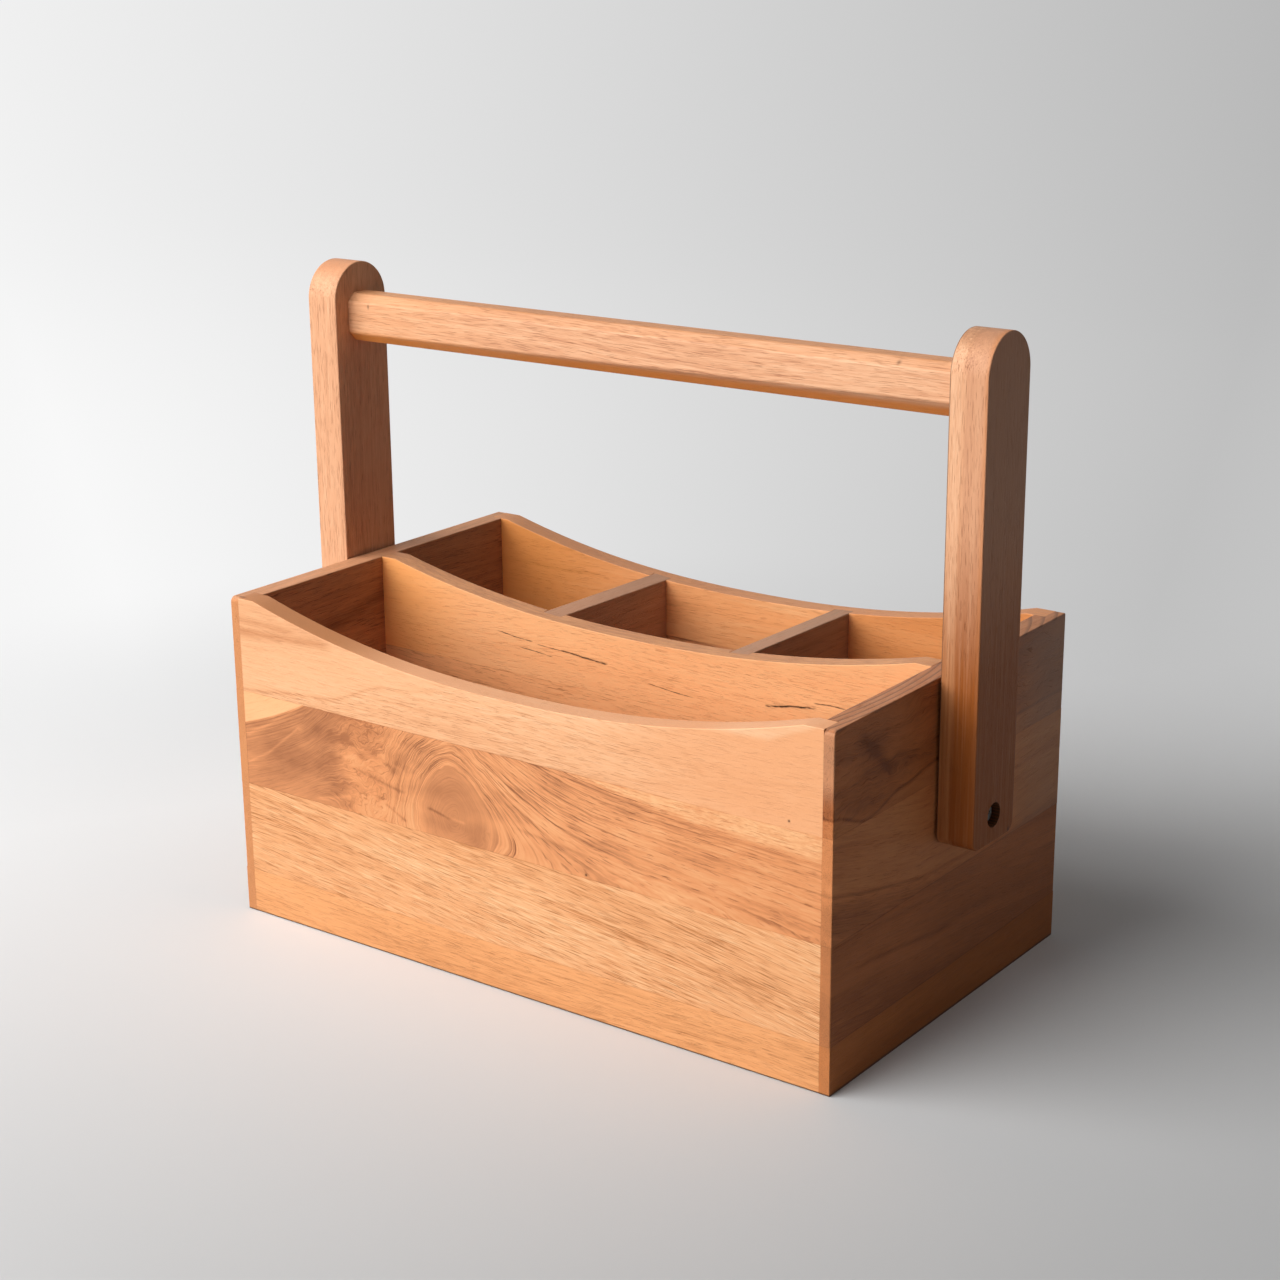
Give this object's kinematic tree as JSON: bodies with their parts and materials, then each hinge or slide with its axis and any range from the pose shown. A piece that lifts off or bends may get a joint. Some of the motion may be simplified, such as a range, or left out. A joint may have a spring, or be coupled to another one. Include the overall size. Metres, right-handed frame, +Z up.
{
  "type": "cutlery box",
  "caption": "Open wooden cutlery box with a long front cell, smaller cells behind it, concave rims and a swinging carrying handle with a chamfered rail.",
  "frame": {"origin": "middle of the box's underside, on the table", "axes": "+X along the box to its right end, +Y from front to back, +Z up"},
  "size_m": [0.334, 0.178, 0.2735],
  "materials": {
    "teak_bottom": "oiled, satin",
    "teak_lower": "oiled, satin",
    "teak_upper": "oiled, satin",
    "teak_top": "oiled, satin",
    "teak_floor": "oiled, satin",
    "teak_handle": "oiled, satin",
    "dowel_wood": "plain",
    "plated_steel": "zinc-plated"
  },
  "bodies": {
    "box": {"front_board_bottom": "teak_bottom", "front_board_lower": "teak_lower", "front_board_upper": "teak_upper", "front_board_top": "teak_top", "back_board_bottom": "teak_bottom", "back_board_lower": "teak_lower", "back_board_upper": "teak_upper", "back_board_top": "teak_top", "left_end_board_bottom": "teak_bottom", "left_end_board_lower": "teak_lower", "left_end_board_upper": "teak_upper", "left_end_board_top": "teak_top", "right_end_board_bottom": "teak_bottom", "right_end_board_lower": "teak_lower", "right_end_board_upper": "teak_upper", "right_end_board_top": "teak_top", "long_divider_board_lower": "teak_lower", "long_divider_board_upper": "teak_upper", "long_divider_board_top": "teak_top", "left_cross_divider_board_lower": "teak_lower", "left_cross_divider_board_upper": "teak_upper", "left_cross_divider_board_top": "teak_top", "right_cross_divider_board_lower": "teak_lower", "right_cross_divider_board_upper": "teak_upper", "right_cross_divider_board_top": "teak_top", "floor_board_front": "teak_floor", "floor_board_middle": "teak_floor", "floor_board_back": "teak_floor", "left_pivot_screw": "plated_steel", "right_pivot_screw": "plated_steel", "left_head_washer": "plated_steel", "right_head_washer": "plated_steel", "left_spacer_washer": "plated_steel", "right_spacer_washer": "plated_steel"},
    "handle": {"left_upright": "teak_handle", "right_upright": "teak_handle", "handle_rail": "teak_handle", "left_rail_dowel_lower": "dowel_wood", "left_rail_dowel_upper": "dowel_wood", "right_rail_dowel_lower": "dowel_wood", "right_rail_dowel_upper": "dowel_wood"}
  },
  "joints": [
    {"name": "handle_swing", "type": "hinge", "parent": "box", "child": "handle", "pos_m": [0, 0, 0.087], "axis": [1, 0, 0], "range_deg": [-114, 114]}
  ]
}
